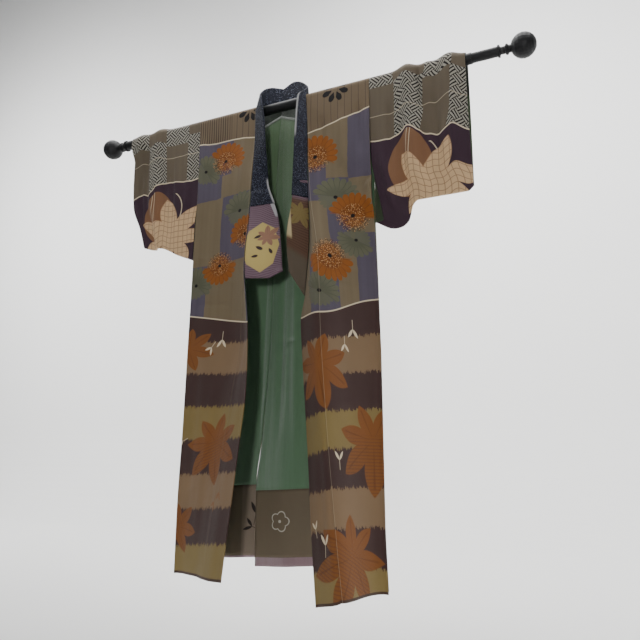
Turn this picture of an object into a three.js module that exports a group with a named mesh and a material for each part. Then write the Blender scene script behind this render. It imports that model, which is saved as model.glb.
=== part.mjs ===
// Kimono hanging on a telescopic rod. Millimetres, +Z up.
// X runs along the rod, the fronts face -Y, and the origin is on the rod's axis at its middle.
// "left" and "right" are the sides as seen from the front: left is -X.
import * as THREE from "three";

// ---- Driving dimensions ----
const CLOTH = 1.4; // outer cloth with its turnings
const LINING = 1.0;
const COLLAR_CLOTH = 3.0; // folded and interfaced
const OVER_COLLAR = 1.0;
const SEAM = 0.3; // gap kept between two sewn pieces
const OVER_OFF = COLLAR_CLOTH / 2 + SEAM + OVER_COLLAR / 2; // over-collar's middle from the collar's
const EDGE_SHARE = 0.06; // share of the over-collar that turns round the collar's free edge
const OVER_COLLAR_END = 385; // cloth length from the ridge to the over-collar's ends
const ROD_R = 16;
const DRAPE_R = 18; // cloth's middle surface over the rod
const QUARTER = (Math.PI / 2) * DRAPE_R; // cloth length from the ridge to rod height
const ARMHOLE = 230; // sleeve sewn to the body this far below the rod
const SIDE_SEAM_TOP = 400; // front and back are joined below this
const COLLAR_END = { left: 637, right: 700 }; // cloth length from the ridge to the collar's ends
const GUSSET_TOP = 330; // cloth length from the ridge to the point of the front overlap panel
const COLLAR_PULL = 2.6; // the collar's wall starts this far from the sewn edge, clear of the turning
const COLLAR_STEP = 1.4; // length over which the collar's direction is taken
const CORNER = { length: 40, share: 0.4, lift: 20 }; // lifted corner at the left collar's end
const NECK_BACK = -55; // cloth length from the ridge to the back of the neck
const NECK_BACK_Y = 48;
const NECK_BACK_Z = 40;
const BACK_Y = 46; // hang of the back behind the rod's axis
const BACK_SEAM_Y = { left: -9, right: 1 }; // the back's side seam under the armhole
const BACK_DEEP = { from: 60, over: 400 }; // depths over which the back takes up its own curve
const BACK_HEM_LIFT = 8; // the back's hem starts this far above the front's
const NECK_SETTLE = 200; // cloth length over which the back settles under the neck
const NECK_LEVEL = -420; // cloth length by which the lift of the neck has faded out
const BACK_CURVE = 1.7; // the back's curve in plan is full at 1 over this share of its width
const HEM_SWAY_TOP = -600; // the hem's slope fades out up to this height
const FOLD_FADE = 220; // a fold grows to its full depth over this height
const EDGE_FADE = 0.08; // folds fade out towards a piece's sides over this share
const SIDE_BULGE = 0.9; // how squarely the cloth leaves its side seams in plan
const TURN_R = 5; // rounding of a sleeve's bottom edge
const TAPER_TOP = 160; // a sleeve hangs straight down to this depth, then narrows to its bottom edge
const SLEEVE_FLAT = 60; // folds and bunches come in over this much of a sleeve's top
const SLEEVE_CALM = 90; // and they fade out over this height above its bottom
const BUNCH_START = 0.15; // bunches on the rod start this share from the body
const BACK_COPIES = 0.6; // share of a front fold that the sleeve's back follows
const STEP = 1e-3; // share of a surface's range over which its direction is taken
const BESIDE = 0.01; // share of a piece's width that gives the way inward from its edge
const FACING_RISE = { left: 6, right: 26 }; // the hem facing ends this far above the hem
const BACK_TOP = -260; // rows of the back get closer together above this cloth length
const FACING_TOP = 1250; // hem facing starts this far below the rod
const TUBE_STEP_X = 597; // outer tube ends, thinner inner tube goes on
const TUBE_END_X = 670;
const BALL_X = 740;
const BALL_R = 35.5;
const TUBE_R = { outerIn: 14.6, inner: 14.2, innerIn: 12.8 };
const INNER_TUBE_X = 300; // the inner tube reaches into the outer one as far as this
const TURNS = 24; // facets round the rod
const BALL_STEPS = 9;
// Finial's stem: distance from the tube's end, and radius beyond the tube's.
const STEM = [
  { x: 0, r: 3.5 },
  { x: 5, r: 3.5 },
  { x: 7, r: -3.5 },
  { x: 20, r: -3.5 },
  { x: 22, r: 1 },
  { x: 27, r: 1 },
  { x: 30, r: -3.5 },
];

// Plan of each front at several heights: side seam, overlap-panel seam and front edge.
const FRONT = {
  left: [
    { z: 0, sideX: -332, sideY: -18, seamX: -110, seamY: -18, edgeX: -108, edgeY: -18 },
    { z: -107, sideX: -331, sideY: -20, seamX: -110, seamY: -22, edgeX: -108, edgeY: -22 },
    { z: -258, sideX: -333, sideY: -21, seamX: -108, seamY: -44, edgeX: -104, edgeY: -48 },
    { z: -400, sideX: -346, sideY: -13, seamX: -112, seamY: -54, edgeX: -95, edgeY: -80 },
    { z: -609, sideX: -354, sideY: -11, seamX: -126, seamY: -58, edgeX: -63, edgeY: -150 },
    { z: -760, sideX: -360, sideY: -11, seamX: -132, seamY: -52, edgeX: -48, edgeY: -152 },
    { z: -932, sideX: -366, sideY: -11, seamX: -144, seamY: -75, edgeX: -44, edgeY: -160 },
    { z: -1096, sideX: -373, sideY: -11, seamX: -159, seamY: -97, edgeX: -54, edgeY: -174 },
    { z: -1253, sideX: -381, sideY: -11, seamX: -176, seamY: -115, edgeX: -67, edgeY: -187 },
    { z: -1470, sideX: -385, sideY: -11, seamX: -194, seamY: -138, edgeX: -83, edgeY: -207 },
  ],
  right: [
    { z: 0, sideX: 288, sideY: -18, seamX: 75, seamY: -18, edgeX: 73, edgeY: -18 },
    { z: -107, sideX: 288, sideY: -20, seamX: 82, seamY: -24, edgeX: 80, edgeY: -24 },
    { z: -225, sideX: 288, sideY: -22, seamX: 88, seamY: -34, edgeX: 85, edgeY: -34 },
    { z: -345, sideX: 290, sideY: -14, seamX: 106, seamY: -62, edgeX: 99, edgeY: -50 },
    { z: -530, sideX: 294, sideY: -4, seamX: 154, seamY: -118, edgeX: 117, edgeY: -85 },
    { z: -672, sideX: 297, sideY: -2, seamX: 178, seamY: -154, edgeX: 112, edgeY: -104 },
    { z: -740, sideX: 298, sideY: -1, seamX: 184, seamY: -162, edgeX: 103, edgeY: -111 },
    { z: -850, sideX: 300, sideY: -1, seamX: 193, seamY: -170, edgeX: 110, edgeY: -115 },
    { z: -1140, sideX: 300, sideY: -1, seamX: 217, seamY: -180, edgeX: 133, edgeY: -126 },
    { z: -1300, sideX: 300, sideY: -1, seamX: 233, seamY: -185, edgeX: 145, edgeY: -136 },
    { z: -1475, sideX: 305, sideY: -1, seamX: 249, seamY: -180, edgeX: 159, edgeY: -140 },
  ],
};
// Hem heights from the side seam to the front edge, and from the side seam to the centre back.
const HEM = {
  left: { side: -1470, seam: -1450, edge: -1438, backMiddle: -1424, backCentre: -1416 },
  right: { side: -1475, seam: -1462, edge: -1490, backMiddle: -1428, backCentre: -1442 },
};
// Centre-back seam.
const BACK_SEAM = [
  { z: 0, x: -44 },
  { z: -296, x: -68 },
  { z: -697, x: -80 },
  { z: -1102, x: -112 },
  { z: -1251, x: -130 },
  { z: -1475, x: -132 },
];
// Neck edge behind the ridge, by cloth length from the ridge.
const NECK = {
  left: [
    { l: NECK_BACK, x: -44, y: NECK_BACK_Y, z: NECK_BACK_Z },
    { l: -42, x: -72, y: 43, z: 39 },
    { l: -26, x: -92, y: 30, z: 34 },
    { l: -12, x: -103, y: 14, z: 25 },
    { l: 0, x: -108, y: 0, z: DRAPE_R },
  ],
  right: [
    { l: NECK_BACK, x: -44, y: NECK_BACK_Y, z: NECK_BACK_Z },
    { l: -42, x: 8, y: 44, z: 39 },
    { l: -26, x: 46, y: 30, z: 34 },
    { l: -12, x: 65, y: 14, z: 25 },
    { l: 0, x: 73, y: 0, z: DRAPE_R },
  ],
};
// Free edge of the collar, by the cloth length at which its other edge is sewn.
const COLLAR = {
  left: [
    { l: NECK_BACK, x: -44, y: 52, z: 93 },
    { l: -42, x: -76, y: 42, z: 101 },
    { l: -26, x: -90, y: 22, z: 92 },
    { l: 0, x: -92, y: -14, z: 60 },
    { l: 40, x: -74, y: -46, z: 14 },
    { l: 135, x: -57, y: -52, z: -104 },
    { l: 286, x: -54, y: -36, z: -258 },
    { l: 425, x: -12, y: -44, z: -384 },
    { l: 540, x: 18, y: -74, z: -500 },
    { l: 637, x: 38, y: -100, z: -608 },
  ],
  right: [
    { l: NECK_BACK, x: -44, y: 52, z: 93 },
    { l: -42, x: -6, y: 46, z: 105 },
    { l: -26, x: 28, y: 28, z: 90 },
    { l: 0, x: 74, y: -6, z: 38 },
    { l: 40, x: 60, y: -44, z: -2 },
    { l: 135, x: 59, y: -60, z: -108 },
    { l: 253, x: 60, y: -72, z: -226 },
    { l: 373, x: 61, y: -84, z: -340 },
    { l: 558, x: 51, y: -102, z: -490 },
    { l: 700, x: 60, y: -104, z: -592 },
  ],
};
// Vertical folds: where each is across the cloth, how wide, how far it stands out, where it starts.
const FOLDS = {
  frontLeft: [
    { at: 0.22, width: 0.14, out: 7, from: -520 },
    { at: 0.5, width: 0.12, out: -6, from: -300 },
    { at: 0.8, width: 0.1, out: 5, from: -700 },
  ],
  frontRight: [
    { at: 0.2, width: 0.12, out: 6, from: -420 },
    { at: 0.42, width: 0.1, out: -7, from: -160 },
    { at: 0.66, width: 0.1, out: 5, from: -600 },
  ],
  backLeft: [
    { at: 0.3, width: 0.16, out: 8, from: -150 },
    { at: 0.68, width: 0.14, out: -9, from: -260 },
  ],
  backRight: [
    { at: 0.78, width: 0.12, out: -9, from: -120 },
    { at: 0.52, width: 0.14, out: 8, from: -260 },
    { at: 0.26, width: 0.14, out: -7, from: -420 },
  ],
  sleeveLeft: [
    { at: 0.3, width: 0.1, out: 5, from: -60 },
    { at: 0.52, width: 0.1, out: -6, from: -30 },
  ],
  sleeveRight: [
    { at: 0.16, width: 0.09, out: 6, from: -60 },
    { at: 0.33, width: 0.07, out: -8, from: -20 },
    { at: 0.46, width: 0.09, out: 13, from: 0 },
    { at: 0.6, width: 0.06, out: -7, from: 0 },
    { at: 0.8, width: 0.1, out: 7, from: 0 },
  ],
};
// Sleeve outlines: bottom edge across the width, and outer edge down the height. setBack moves the
// cuff's end backwards, slack is how far the inner edges hang off the body, and bunch is where the
// cloth stands up off the rod.
const SLEEVE = {
  left: {
    bottom: [
      { s: 0, z: -478 },
      { s: 0.3, z: -452 },
      { s: 0.62, z: -417 },
      { s: 0.85, z: -410 },
      { s: 1, z: -398 },
    ],
    outer: [
      { z: 20, x: -632 },
      { z: -120, x: -638 },
      { z: -240, x: -636 },
      { z: -330, x: -606 },
      { z: -480, x: -566 },
    ],
    setBack: { from: 0.68, to: 0.8, by: 24 },
    slack: { front: 8, frontOver: 120, back: 8, backTop: ARMHOLE, backOver: 120 },
    bunch: [
      { at: 0.58, width: 0.1, lift: 9 },
      { at: 0.86, width: 0.08, lift: 6 },
    ],
  },
  right: {
    bottom: [
      { s: 0, z: -446 },
      { s: 0.2, z: -474 },
      { s: 0.28, z: -462 },
      { s: 0.36, z: -412 },
      { s: 0.44, z: -398 },
      { s: 0.94, z: -397 },
      { s: 1, z: -384 },
    ],
    outer: [
      { z: 20, x: 581 },
      { z: -200, x: 582 },
      { z: -480, x: 584 },
    ],
    setBack: { from: 0.9, to: 1, by: 0 },
    slack: { front: 30, frontOver: 260, back: -2, backTop: 340, backOver: 80 },
    bunch: [
      { at: 0.4, width: 0.09, lift: 12 },
      { at: 0.62, width: 0.05, lift: 4 },
      { at: 0.84, width: 0.1, lift: 13 },
    ],
  },
};

// ---- Small helpers ----
const mix = (a, b, t) => a + (b - a) * t;
const clamp = (t) => Math.min(1, Math.max(0, t));
const ease = (t) => clamp(t) * clamp(t) * (3 - 2 * clamp(t));
const V = (x, y, z) => new THREE.Vector3(x, y, z);

// Smooth value of a table's column at a key, with no overshoot between the rows.
function read(rows, key, column, at) {
  const up = rows[0][key] < rows[rows.length - 1][key];
  const list = up ? rows : [...rows].reverse();
  const last = list.length - 1;
  if (at <= list[0][key]) return list[0][column];
  if (at >= list[last][key]) return list[last][column];
  let i = 0;
  while (at > list[i + 1][key]) i++;
  const slope = (k) => {
    const a = list[k + 1][column] - list[k][column];
    return a / (list[k + 1][key] - list[k][key]);
  };
  const tangent = (k) => {
    if (k === 0) return slope(0);
    if (k === last) return slope(last - 1);
    const before = slope(k - 1);
    const after = slope(k);
    return before * after <= 0 ? 0 : (2 * before * after) / (before + after);
  };
  const h = list[i + 1][key] - list[i][key];
  const t = (at - list[i][key]) / h;
  const t2 = t * t;
  const t3 = t2 * t;
  return (
    (2 * t3 - 3 * t2 + 1) * list[i][column] +
    (t3 - 2 * t2 + t) * h * tangent(i) +
    (3 * t2 - 2 * t3) * list[i + 1][column] +
    (t3 - t2) * h * tangent(i + 1)
  );
}

// How far the folds push the cloth out at a place across it and a height.
function foldOut(folds, across, z) {
  let sum = 0;
  for (const f of folds) {
    const side = (across - f.at) / f.width;
    sum += f.out * Math.exp(-side * side) * ease((f.from - z) / FOLD_FADE);
  }
  return sum * ease(across / EDGE_FADE) * ease((1 - across) / EDGE_FADE);
}

// Share of the hem's slope that a height has.
const hemShare = (side, z) => ease((HEM_SWAY_TOP - z) / (HEM_SWAY_TOP - HEM[side].side));

// Hermite curve in plan from a to b with the given end tangents.
function hermite(a, b, ta, tb, t) {
  const t2 = t * t;
  const t3 = t2 * t;
  return (2 * t3 - 3 * t2 + 1) * a + (t3 - 2 * t2 + t) * ta + (3 * t2 - 2 * t3) * b + (t3 - t2) * tb;
}

// ---- Cloth surfaces ----
// w runs 0 to 1 over the body cloth and 1 to 2 over the overlap panel, l is the length below the ridge.
function frontPoint(side, w, l) {
  if (l < QUARTER) {
    const x = mix(FRONT[side][0].sideX, read(NECK[side], "l", "x", Math.min(l, 0)), clamp(w));
    const angle = l / DRAPE_R;
    return V(x, -DRAPE_R * Math.sin(angle), DRAPE_R * Math.cos(angle));
  }
  const height = QUARTER - l;
  const at = (column) => read(FRONT[side], "z", column, height);
  const sx = at("sideX");
  const sy = at("sideY");
  const mx = at("seamX");
  const my = at("seamY");
  const ex = at("edgeX");
  const ey = at("edgeY");
  const body = Math.hypot(mx - sx, my - sy);
  const panel = Math.hypot(ex - mx, ey - my);
  const share = body / (body + panel);
  const tx = (ex - sx) * share;
  const ty = (ey - sy) * share;
  let x;
  let y;
  if (w <= 1) {
    x = hermite(sx, mx, Math.sign(mx - sx) * body * SIDE_BULGE, tx, w);
    y = hermite(sy, my, 0, ty, w);
  } else {
    const turn = panel / body;
    x = hermite(mx, ex, tx * turn, (ex - mx) * SIDE_BULGE, w - 1);
    y = hermite(my, ey, ty * turn, (ey - my) * SIDE_BULGE, w - 1);
  }
  const across = w <= 1 ? w * share : share + (w - 1) * (1 - share);
  const folds = side === "left" ? FOLDS.frontLeft : FOLDS.frontRight;
  y -= foldOut(folds, across, height);
  const hem = HEM[side];
  const drop = w <= 1 ? mix(hem.side, hem.seam, w) : mix(hem.seam, hem.edge, w - 1);
  return V(x, y, height + (drop - hem.side) * hemShare(side, height));
}

// u runs 0 at the side to 1 at the centre back, l is the (negative) length behind the ridge.
function backPoint(side, u, l) {
  const angle = Math.min(-l, QUARTER) / DRAPE_R;
  const height = -l < QUARTER ? DRAPE_R * Math.cos(angle) : QUARTER + l;
  const rodY = DRAPE_R * Math.sin(angle);
  const joined = ease((-height - ARMHOLE) / (SIDE_SEAM_TOP - ARMHOLE));
  const sideY = mix(rodY, BACK_SEAM_Y[side], joined);
  const sideX = read(FRONT[side], "z", "sideX", Math.min(0, height));
  let edgeX;
  let edgeY;
  let edgeZ;
  if (l > NECK_BACK) {
    edgeX = read(NECK[side], "l", "x", l);
    edgeY = read(NECK[side], "l", "y", l);
    edgeZ = read(NECK[side], "l", "z", l);
  } else {
    edgeX = read(BACK_SEAM, "z", "x", Math.min(0, height));
    edgeY = mix(NECK_BACK_Y, BACK_Y, ease((NECK_BACK - l) / NECK_SETTLE));
    const lift = NECK_BACK_Z - QUARTER - NECK_BACK;
    edgeZ = height + lift * ease((l - NECK_LEVEL) / (NECK_BACK - NECK_LEVEL));
  }
  const deep = ease((-height - BACK_DEEP.from) / BACK_DEEP.over);
  const rise = mix(Math.pow(u, 3), Math.sin((Math.PI / 2) * Math.min(1, u * BACK_CURVE)), deep);
  const folds = side === "left" ? FOLDS.backLeft : FOLDS.backRight;
  const y = mix(sideY, edgeY, rise) + foldOut(folds, u, height);
  const hem = HEM[side];
  const outerDrop = mix(hem.side + BACK_HEM_LIFT, hem.backMiddle, u * 2);
  const drop = u < 0.5 ? outerDrop : mix(hem.backMiddle, hem.backCentre, u * 2 - 1);
  const z = mix(height, edgeZ, Math.pow(u, 3)) + (drop - hem.side) * hemShare(side, height);
  return V(mix(sideX, edgeX, u), y, z);
}

const bodyPoint = (side, u, l) => (l >= 0 ? frontPoint(side, u, l) : backPoint(side, u, l));

// Edge to which the collar is sewn.
function sewnPoint(side, l) {
  if (l < 0) return backPoint(side, 1, l);
  return frontPoint(side, l < GUSSET_TOP ? 1 : 2, l);
}

// Collar surface: s is the cloth length from the centre back, negative to the left; w runs across it.
function collarPoint(s, w) {
  const side = s < 0 ? "left" : "right";
  const l = NECK_BACK + Math.abs(s);
  const sewn = sewnPoint(side, l);
  const free = V(
    read(COLLAR[side], "l", "x", l),
    read(COLLAR[side], "l", "y", l),
    read(COLLAR[side], "l", "z", l),
  );
  const across = free.clone().sub(sewn);
  const pull = COLLAR_PULL / across.length();
  const outward = ease((w - 1 + CORNER.share) / CORNER.share);
  const corner = outward * ease((l - COLLAR_END.left + CORNER.length) / CORNER.length);
  if (side === "left") sewn.z += CORNER.lift * corner;
  return sewn.addScaledVector(across, mix(pull, 1, w));
}

// Over-collar, folded round the collar's free edge: w runs -1 on the outer face to 1 on the inner.
function overCollarPoint(s, w) {
  const at = 1 - Math.max(0, Math.abs(w) - EDGE_SHARE) / (1 - EDGE_SHARE);
  const point = collarPoint(s, at);
  const across = collarPoint(s, at + STEP).sub(collarPoint(s, at - STEP)).normalize();
  const ahead = collarPoint(s + COLLAR_STEP, at);
  const along = ahead.sub(collarPoint(s - COLLAR_STEP, at)).normalize();
  const normal = along.cross(across).normalize();
  const angle = (Math.min(1, Math.abs(w) / EDGE_SHARE) * Math.PI) / 2;
  point.addScaledVector(across, OVER_OFF * Math.cos(angle));
  return point.addScaledVector(normal, OVER_OFF * Math.sin(angle) * Math.sign(w));
}

// Sleeve: s runs 0 at the body to 1 at the cuff. t runs round it: 0 on the ridge, 1 at rod height,
// 2 above the bottom edge and 3 under it, negative behind the rod and positive in front.
function sleevePoint(side, s, t) {
  const shape = SLEEVE[side];
  const folds = side === "left" ? FOLDS.sleeveLeft : FOLDS.sleeveRight;
  const sign = side === "left" ? -1 : 1;
  const bottom = read(shape.bottom, "s", "z", s);
  const straight = -bottom - TURN_R;
  let lift = 0;
  for (const b of shape.bunch) lift += b.lift * Math.exp(-(((s - b.at) / b.width) ** 2));
  const over = DRAPE_R + lift * ease(s / BUNCH_START);
  const wrapped = t < -3 ? t + 6 : t;
  const part = Math.abs(wrapped) > 3 ? 6 - Math.abs(wrapped) : Math.abs(wrapped);
  const face = wrapped > 0 === Math.abs(wrapped) <= 3 ? 1 : -1;
  let y;
  let z;
  if (part < 1) {
    const angle = (part * Math.PI) / 2;
    y = over * Math.sin(angle);
    z = over * Math.cos(angle);
  } else if (part < 2) {
    z = -(part - 1) * straight;
    const upper = mix(over, DRAPE_R, ease(-z / TAPER_TOP));
    y = mix(upper, TURN_R, ease((-z - TAPER_TOP) / (straight - TAPER_TOP)));
  } else {
    const angle = ((part - 2) * Math.PI) / 2;
    z = -straight - TURN_R * Math.sin(angle);
    y = TURN_R * Math.cos(angle);
  }
  const low = ease((z - bottom) / SLEEVE_CALM);
  const push = foldOut(folds, s, z) * ease(-z / SLEEVE_FLAT) * low;
  const step = ease((s - shape.setBack.from) / (shape.setBack.to - shape.setBack.from));
  const back = shape.setBack.by * step * ease((-z - ROD_R) / SLEEVE_FLAT);
  y = (face > 0 ? -y - push : y + Math.max(0, push) * BACK_COPIES) + back;
  const seamX = read(FRONT[side], "z", "sideX", Math.min(0, z));
  const slack = shape.slack;
  const frontSlack = slack.front * ease((-z - ARMHOLE) / slack.frontOver);
  const backSlack = slack.back * ease((-z - slack.backTop) / slack.backOver);
  const toFront = ease(0.5 - y / (2 * TURN_R));
  const innerX = seamX + sign * (SEAM + mix(backSlack, frontSlack, toFront));
  return V(mix(innerX, read(shape.outer, "z", "x", z), s), y, z);
}

// ---- Walls ----
// Closed wall round a surface sampled at lists of a and b: thickness t, moved off along the normal.
// With square set, the end at a = 1 behind the ridge is cut square to X, for the centre-back seam.
function wall(surface, listA, listB, t, { off = 0, loopB = false, square = false, turnAt = Infinity } = {}) {
  const outer = [];
  const inner = [];
  const rangeA = listA[listA.length - 1] - listA[0];
  const rangeB = listB[listB.length - 1] - listB[0];
  for (const a of listA) {
    for (const b of listB) {
      const p = surface(a, b);
      const at = (i, j) => surface(a + i * STEP * rangeA, b + j * STEP * rangeB);
      const da = at(1, 0).sub(at(-1, 0));
      const db = at(0, 1).sub(at(0, -1));
      const n = da.cross(db).normalize();
      if (square && a === 1 && b < NECK_BACK) n.setX(0).normalize();
      outer.push(p.clone().addScaledVector(n, off + t / 2));
      inner.push(p.clone().addScaledVector(n, off - t / 2));
    }
  }
  return closeWall(outer, inner, listA.length, listB.length, loopB, turnAt);
}

// Stitches two layers of points, na by nb, into one closed mesh. From column turnAt on, its squares
// are split along the other diagonal, as a cloth folded back over another one needs.
function closeWall(outer, inner, na, nb, loopB, turnAt) {
  const points = [...outer, ...inner];
  const half = outer.length;
  const faces = [];
  const quad = (a, b, c, d) => faces.push(a, b, c, a, c, d);
  const nj = loopB ? nb : nb - 1;
  const id = (i, j) => i * nb + (j % nb);
  for (let i = 0; i < na - 1; i++) {
    for (let j = 0; j < nj; j++) {
      const ring = [id(i, j), id(i + 1, j), id(i + 1, j + 1), id(i, j + 1)];
      if (j >= turnAt) ring.push(ring.shift());
      const [a, b, c, d] = ring;
      quad(a, b, c, d);
      quad(half + a, half + d, half + c, half + b);
    }
  }
  for (let j = 0; j < nj; j++) {
    quad(id(0, j), id(0, j + 1), half + id(0, j + 1), half + id(0, j));
    quad(id(na - 1, j + 1), id(na - 1, j), half + id(na - 1, j), half + id(na - 1, j + 1));
  }
  if (!loopB) {
    for (let i = 0; i < na - 1; i++) {
      quad(id(i + 1, 0), id(i, 0), half + id(i, 0), half + id(i + 1, 0));
      quad(id(i, nb - 1), id(i + 1, nb - 1), half + id(i + 1, nb - 1), half + id(i, nb - 1));
    }
  }
  const geometry = new THREE.BufferGeometry();
  const flat = points.flatMap((p) => [p.x, p.y, p.z]);
  geometry.setAttribute("position", new THREE.Float32BufferAttribute(flat, 3));
  geometry.setIndex(faces);
  return facingOut(geometry);
}

// Turns the faces round when the closed mesh encloses a negative volume.
function facingOut(geometry) {
  const p = geometry.attributes.position;
  const index = geometry.index.array;
  const corner = (k) => V(p.getX(index[k]), p.getY(index[k]), p.getZ(index[k]));
  let volume = 0;
  for (let k = 0; k < index.length; k += 3) {
    volume += corner(k).dot(corner(k + 1).cross(corner(k + 2)));
  }
  if (volume < 0) {
    for (let k = 0; k < index.length; k += 3) {
      [index[k + 1], index[k + 2]] = [index[k + 2], index[k + 1]];
    }
  }
  return geometry;
}

const spread = (from, to, count) =>
  Array.from({ length: count + 1 }, (_, i) => mix(from, to, i / count));

// ---- Materials ----
const paint = (colour, roughness, metalness = 0) =>
  new THREE.MeshStandardMaterial({ color: colour, roughness, metalness });
const PRINTED = paint(0x6f6470, 0.75);
const NAVY = paint(0x1c1f2e, 0.8);
const GREEN = paint(0x3f6b4c, 0.5);
const BROWN = paint(0x5d5141, 0.7);
const COLLAR_PRINT = paint(0x8a7a5c, 0.75);
const BLACK_METAL = paint(0x0c0c0d, 0.35, 0.6);

const kimono = new THREE.Group();
kimono.name = "kimono_on_rod";
function add(name, geometry, material) {
  const mesh = new THREE.Mesh(geometry, material);
  mesh.name = name;
  kimono.add(mesh);
}

// ---- Garment ----
const NECK_ROWS = [NECK_BACK, -42, -34, -26, -18, -9, 0, 9, 18, 26];
const UPPER_ROWS = [45, 90, 135, 190, 250];
const LOWER_ROWS = [GUSSET_TOP, 385, 440, 500, 560, 600, COLLAR_END.left, COLLAR_END.right];
const FRONT_ROWS = [...UPPER_ROWS, ...LOWER_ROWS];
const BACK_ROWS = [-200, -140, -95];
const ACROSS = [0, 0.08, 0.18, 0.28, 0.38, 0.48, 0.58, 0.68, 0.78, 0.88, 0.95, 1];
const PANEL_ACROSS = [0, 0.25, 0.5, 0.75, 1];
const SLEEVE_ACROSS = [0, 0.08, 0.16, 0.24, 0.32, 0.4, 0.48, 0.56, 0.64, 0.72, 0.8, 0.9, 1];
const SLEEVE_DOWN = [0.25, 0.5, 0.75, 1, 1.1, 1.2, 1.32, 1.45, 1.58, 1.7, 1.82, 1.92, 2, 2.5];
const SLEEVE_ROUND = [-3, ...SLEEVE_DOWN.map((t) => -t).reverse(), 0, ...SLEEVE_DOWN];
for (const side of ["left", "right"]) {
  const hemL = QUARTER - HEM[side].side;
  const backLow = spread(-hemL, -FACING_TOP - QUARTER, 4);
  const backMid = spread(-FACING_TOP - QUARTER, BACK_TOP, 12);
  const lowerRows = [...LOWER_ROWS, ...spread(COLLAR_END.right, hemL, 11).slice(1)];
  const bodyRows = [...backLow, ...backMid.slice(1), ...BACK_ROWS, ...NECK_ROWS, ...UPPER_ROWS, ...lowerRows];
  const trimmed = (u, l) => {
    const point = bodyPoint(side, u, l);
    if (u < 1) return point;
    const inward = bodyPoint(side, 1 - BESIDE, l).sub(point).normalize();
    return point.addScaledVector(inward, SEAM / 2);
  };
  add(`body_${side}`, wall(trimmed, ACROSS, bodyRows, CLOTH, { square: true }), PRINTED);

  const panel = (w, l) => {
    const point = frontPoint(side, 1 + w, l);
    if (w > 0) return point;
    const inward = frontPoint(side, 1 + BESIDE, l).sub(point).normalize();
    return point.addScaledVector(inward, SEAM / 2);
  };
  add(`overlap_${side}`, wall(panel, PANEL_ACROSS, lowerRows, CLOTH), PRINTED);

  const off = (side === "left" ? 1 : -1) * (CLOTH / 2 + SEAM + LINING / 2);
  const inside = { off, square: true };
  const liningRows = [...backMid, ...BACK_ROWS];
  liningRows[0] += SEAM;
  add(`lining_${side}`, wall(trimmed, ACROSS.slice(1), liningRows, LINING, inside), GREEN);
  const facingRows = [...backLow];
  facingRows[0] += FACING_RISE[side];
  add(`hem_facing_${side}`, wall(trimmed, ACROSS.slice(1), facingRows, LINING, inside), BROWN);

  const sleeve = (s, t) => sleevePoint(side, s, t);
  add(`sleeve_${side}`, wall(sleeve, SLEEVE_ACROSS, SLEEVE_ROUND, CLOTH, { loopB: true }), PRINTED);
}

// ---- Collar, and the dark over-collar folded round its upper half ----
const rightStations = [...NECK_ROWS, ...FRONT_ROWS].map((l) => l - NECK_BACK);
const onLeft = rightStations.filter((s) => s > 0 && s <= COLLAR_END.left - NECK_BACK);
const stations = [...onLeft.map((s) => -s).reverse(), ...rightStations];
const COLLAR_ACROSS = [0, 0.33, 0.6, 0.85, 1];
add("collar", wall(collarPoint, stations, COLLAR_ACROSS, COLLAR_CLOTH), COLLAR_PRINT);
const overStations = stations.filter((s) => Math.abs(s) <= OVER_COLLAR_END - NECK_BACK);
const overOuter = COLLAR_ACROSS.map((at) => -EDGE_SHARE - (1 - at) * (1 - EDGE_SHARE));
const overInner = overOuter.map((w) => -w).reverse();
const overAcross = [...overOuter, -EDGE_SHARE / 2, 0, EDGE_SHARE / 2, ...overInner];
const turnAt = overOuter.length + 1;
const overWall = wall(overCollarPoint, overStations, overAcross, OVER_COLLAR, { turnAt });
add("over_collar", overWall, NAVY);

// ---- Rod: lathe profiles turned from Z to X ----
function turned(profile) {
  const points = profile.map(([r, x]) => new THREE.Vector2(r, x));
  const geometry = new THREE.LatheGeometry(points, TURNS);
  geometry.rotateZ(-Math.PI / 2);
  return geometry;
}
const tube = (rIn, rOut, x0, x1) => [
  [rIn, x0],
  [rOut, x0],
  [rOut, x1],
  [rIn, x1],
  [rIn, x0],
];
add("rod_outer_tube", turned(tube(TUBE_R.outerIn, ROD_R, -TUBE_END_X, TUBE_STEP_X)), BLACK_METAL);
add("rod_inner_tube", turned(tube(TUBE_R.innerIn, TUBE_R.inner, INNER_TUBE_X, TUBE_END_X)), BLACK_METAL);

// Ball finial with its flange, neck and ring, seated against the tube's end.
function finial(tubeR) {
  const start = TUBE_END_X + SEAM;
  const profile = [[0, start], ...STEM.map((row) => [tubeR + row.r, start + row.x])];
  const meet = Math.asin((tubeR + STEM[STEM.length - 1].r) / BALL_R);
  for (let k = 0; k < BALL_STEPS; k++) {
    const a = mix(meet, Math.PI, k / BALL_STEPS);
    profile.push([BALL_R * Math.sin(a), BALL_X - BALL_R * Math.cos(a)]);
  }
  profile.push([0, BALL_X + BALL_R]);
  return profile;
}
add("finial_right", turned(finial(TUBE_R.inner)), BLACK_METAL);
const leftFinial = turned(finial(ROD_R));
leftFinial.rotateZ(Math.PI);
add("finial_left", leftFinial, BLACK_METAL);

export default kimono;
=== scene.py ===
"""A printed silk kimono hanging on a black telescopic rod.

X runs along the rod, the fronts face -Y, +Z is up, and the rod's middle is the origin. Lengths of the
garment are in millimetres and become metres only where a mesh is made.
"""
from functools import partialmethod
import math

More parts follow.
